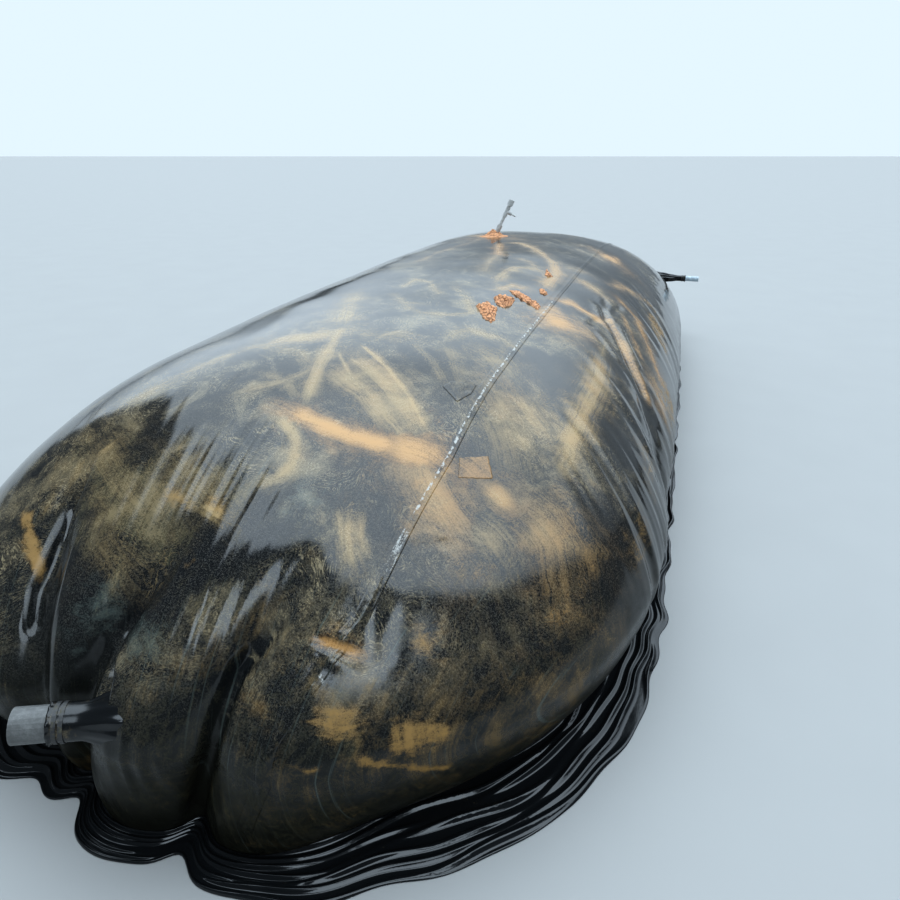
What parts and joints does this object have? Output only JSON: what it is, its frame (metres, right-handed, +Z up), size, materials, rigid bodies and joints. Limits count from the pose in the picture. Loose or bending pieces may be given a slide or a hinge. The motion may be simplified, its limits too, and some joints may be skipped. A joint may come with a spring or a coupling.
{
  "type": "biogas digester",
  "caption": "Covered biogas digester: long black polyethylene bag with gathered ends, long weld, floor hem, gas outlet riser on the crest, slurry outlet and inlet pipes.",
  "frame": {"origin": "middle of the bag's flat foot, on the floor", "axes": "+Y along the bag from its near end, which has the outlet pipe, to its far end; +X to the right, towards the inlet pipe; +Z up"},
  "size_m": [4.4315, 11.1934, 2.1399],
  "materials": {
    "black_sheet": "gloss",
    "muddy_sheet": "satin",
    "grey_pvc": "satin",
    "pale_pvc": "satin",
    "strap_rubber": "satin"
  },
  "bodies": {
    "root": {"top_sheet_left": "black_sheet", "top_sheet_right": "black_sheet", "left_wall_sheet": "black_sheet", "right_wall_sheet": "black_sheet", "near_end_right": "black_sheet", "near_end_lobe_1": "black_sheet", "near_end_lobe_2": "black_sheet", "near_end_lobe_3": "black_sheet", "near_end_left": "black_sheet", "far_end_left": "black_sheet", "far_end_right": "black_sheet", "bottom_sheet": "black_sheet", "long_weld": "black_sheet", "near_hem": "black_sheet", "far_hem": "black_sheet", "left_hem": "black_sheet", "right_hem": "black_sheet", "scuffed_patch": "muddy_sheet", "smooth_patch": "muddy_sheet", "riser_base_patch": "muddy_sheet", "riser_flange": "grey_pvc", "riser_nut": "grey_pvc", "riser_fitting": "grey_pvc", "riser_lower_pipe": "grey_pvc", "riser_tee": "grey_pvc", "hose_nipple": "grey_pvc", "riser_upper_pipe": "grey_pvc", "riser_cap": "grey_pvc", "outlet_pipe": "grey_pvc", "outlet_sleeve": "black_sheet", "outlet_strap_1": "strap_rubber", "outlet_strap_2": "strap_rubber", "inlet_pipe": "pale_pvc", "inlet_sleeve": "black_sheet", "inlet_strap_1": "strap_rubber", "inlet_strap_2": "strap_rubber"}
  },
  "joints": []
}
